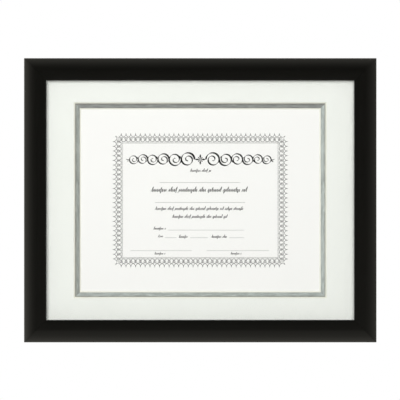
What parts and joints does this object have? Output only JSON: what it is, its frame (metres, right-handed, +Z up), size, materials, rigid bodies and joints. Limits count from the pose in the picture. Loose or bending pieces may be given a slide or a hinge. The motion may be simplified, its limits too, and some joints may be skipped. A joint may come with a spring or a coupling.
{
  "type": "certificate frame",
  "caption": "Black mitred wall frame with a double mat round a letter-size certificate, its back held by turn buttons and hung by sawtooth hangers.",
  "frame": {"origin": "on the wall plane, at the middle notch of the top rail's sawtooth hanger, where it sits on its nail", "axes": "+X along the frame, to the right seen from the front; +Y back to the wall, so the front faces -Y; +Z up"},
  "size_m": [0.3938, 0.0221, 0.3175],
  "materials": {
    "black_moulding": "satin",
    "clear_glass": "gloss",
    "white_mat_board": "matte",
    "silver_mat_board": "satin",
    "certificate_paper": "matte",
    "printing_ink": "matte",
    "paper_tape": "matte",
    "filler_card": "matte",
    "brown_hardboard": "matte",
    "zinc_steel": "satin",
    "bumper_rubber": "matte"
  },
  "bodies": {
    "frame": {"rail_top": "black_moulding", "rail_bottom": "black_moulding", "rail_left": "black_moulding", "rail_right": "black_moulding", "glass": "clear_glass", "top_mat": "white_mat_board", "inner_mat": "silver_mat_board", "mat_bond_tape": "paper_tape", "certificate": "certificate_paper", "certificate_tape": "paper_tape", "filler_board": "filler_card", "backing_board": "brown_hardboard", "turn_button_screws": "zinc_steel", "hanger_landscape": "zinc_steel", "hanger_portrait": "zinc_steel", "hanger_nails": "zinc_steel", "corner_v_nails": "zinc_steel", "wall_bumpers": "bumper_rubber"},
    "turn_button_top_left": {"turn_button_top_left": "zinc_steel"},
    "turn_button_top_right": {"turn_button_top_right": "zinc_steel"},
    "turn_button_bottom_left": {"turn_button_bottom_left": "zinc_steel"},
    "turn_button_bottom_right": {"turn_button_bottom_right": "zinc_steel"},
    "turn_button_left_upper": {"turn_button_left_upper": "zinc_steel"},
    "turn_button_left_lower": {"turn_button_left_lower": "zinc_steel"},
    "turn_button_right_upper": {"turn_button_right_upper": "zinc_steel"},
    "turn_button_right_lower": {"turn_button_right_lower": "zinc_steel"}
  },
  "joints": [
    {"name": "turn_button_top_left_swivel", "type": "hinge", "parent": "frame", "child": "turn_button_top_left", "pos_m": [-0.0889, -0.003, 0.003], "axis": [0, 1, 0], "continuous": true},
    {"name": "turn_button_top_right_swivel", "type": "hinge", "parent": "frame", "child": "turn_button_top_right", "pos_m": [0.0889, -0.003, 0.003], "axis": [0, 1, 0], "continuous": true},
    {"name": "turn_button_bottom_left_swivel", "type": "hinge", "parent": "frame", "child": "turn_button_bottom_left", "pos_m": [-0.0889, -0.003, -0.29625], "axis": [0, 1, 0], "continuous": true},
    {"name": "turn_button_bottom_right_swivel", "type": "hinge", "parent": "frame", "child": "turn_button_bottom_right", "pos_m": [0.0889, -0.003, -0.29625], "axis": [0, 1, 0], "continuous": true},
    {"name": "turn_button_left_upper_swivel", "type": "hinge", "parent": "frame", "child": "turn_button_left_upper", "pos_m": [-0.18773, -0.003, -0.07677], "axis": [0, 1, 0], "continuous": true},
    {"name": "turn_button_left_lower_swivel", "type": "hinge", "parent": "frame", "child": "turn_button_left_lower", "pos_m": [-0.18773, -0.003, -0.21648], "axis": [0, 1, 0], "continuous": true},
    {"name": "turn_button_right_upper_swivel", "type": "hinge", "parent": "frame", "child": "turn_button_right_upper", "pos_m": [0.18773, -0.003, -0.07677], "axis": [0, 1, 0], "continuous": true},
    {"name": "turn_button_right_lower_swivel", "type": "hinge", "parent": "frame", "child": "turn_button_right_lower", "pos_m": [0.18773, -0.003, -0.21648], "axis": [0, 1, 0], "continuous": true}
  ]
}
